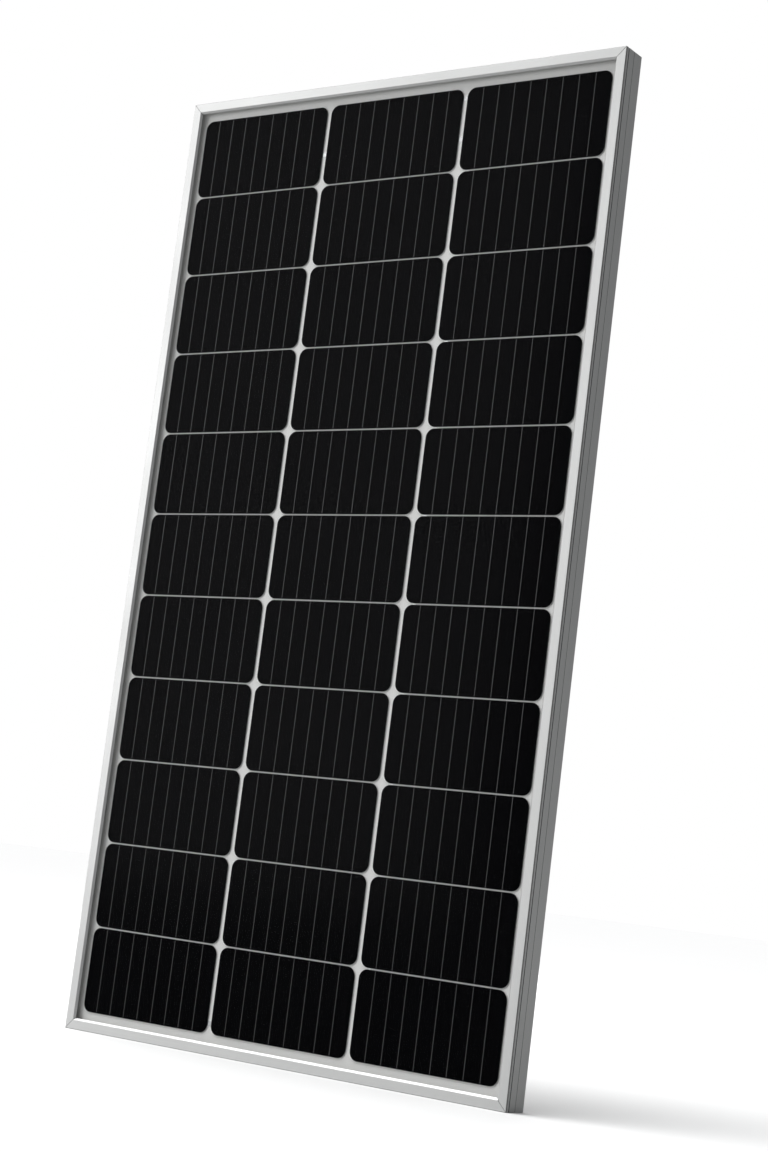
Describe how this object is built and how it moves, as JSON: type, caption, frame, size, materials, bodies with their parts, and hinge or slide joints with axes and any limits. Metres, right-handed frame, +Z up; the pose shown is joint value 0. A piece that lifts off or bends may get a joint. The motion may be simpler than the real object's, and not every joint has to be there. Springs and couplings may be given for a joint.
{
  "type": "solar panel",
  "caption": "Rigid framed photovoltaic panel with rows of dark cut cells under glass, a mitred aluminium frame and a hinged-lid junction box on its back.",
  "frame": {"origin": "middle of the bottom edge, on the surface that the panel stands on", "axes": "+X to the right seen from the front, +Y from the glass to the back, +Z up the panel length"},
  "size_m": [0.54, 0.03, 1],
  "materials": {
    "frame": "clear anodised extrusion, satin",
    "corner_key": "die cast",
    "edge_seal": "white silicone",
    "glass": "low-iron tempered, anti-reflective",
    "encapsulant": "clear cured sheet",
    "cell": "near-black anti-reflective silicon",
    "ribbon": "tinned copper",
    "backsheet": "white laminated film",
    "junction_box": "moulded black, fine texture",
    "gland_nut": "moulded black nylon",
    "lid_seal": "black silicone",
    "terminal": "tinned copper",
    "diode": "moulded epoxy"
  },
  "bodies": {
    "panel": {"backsheet": "backsheet", "bus_ribbon_bottom": "ribbon", "bus_ribbon_top": "ribbon", "bypass_diode_1": "diode", "bypass_diode_2": "diode", "cell_left_01": "cell", "cell_left_02": "cell", "cell_left_03": "cell", "cell_left_04": "cell", "cell_left_05": "cell", "cell_left_06": "cell", "cell_left_07": "cell", "cell_left_08": "cell", "cell_left_09": "cell", "cell_left_10": "cell", "cell_left_11": "cell", "cell_middle_01": "cell", "cell_middle_02": "cell", "cell_middle_03": "cell", "cell_middle_04": "cell", "cell_middle_05": "cell", "cell_middle_06": "cell", "cell_middle_07": "cell", "cell_middle_08": "cell", "cell_middle_09": "cell", "cell_middle_10": "cell", "cell_middle_11": "cell", "cell_right_01": "cell", "cell_right_02": "cell", "cell_right_03": "cell", "cell_right_04": "cell", "cell_right_05": "cell", "cell_right_06": "cell", "cell_right_07": "cell", "cell_right_08": "cell", "cell_right_09": "cell", "cell_right_10": "cell", "cell_right_11": "cell", "corner_key_bottom_left": "corner_key", "corner_key_bottom_right": "corner_key", "corner_key_top_left": "corner_key", "corner_key_top_right": "corner_key", "edge_seal": "edge_seal", "frame_rail_bottom": "frame", "frame_rail_left": "frame", "frame_rail_right": "frame", "frame_rail_top": "frame", "front_encapsulant": "encapsulant", "front_glass": "glass", "junction_box_base": "junction_box", "lead_ribbon_negative": "ribbon", "lead_ribbon_positive": "ribbon", "rear_encapsulant": "encapsulant", "terminal_middle": "terminal", "terminal_negative": "terminal", "terminal_positive": "terminal"},
    "box_lid": {"junction_box_lid": "junction_box", "lid_seal": "lid_seal"},
    "gland_nut_positive": {"gland_nut_positive": "gland_nut"},
    "gland_nut_negative": {"gland_nut_negative": "gland_nut"}
  },
  "joints": [
    {"name": "lid_hinge", "type": "hinge", "parent": "panel", "child": "box_lid", "pos_m": [0, 0.006, 0.945], "axis": [1, 0, 0], "range_deg": [0, 110]},
    {"name": "gland_nut_positive_turn", "type": "hinge", "parent": "panel", "child": "gland_nut_positive", "pos_m": [-0.035, 0.0015, 0.843], "axis": [0, 0, 1], "continuous": true},
    {"name": "gland_nut_negative_turn", "type": "hinge", "parent": "panel", "child": "gland_nut_negative", "pos_m": [0.035, 0.0015, 0.843], "axis": [0, 0, 1], "continuous": true}
  ]
}
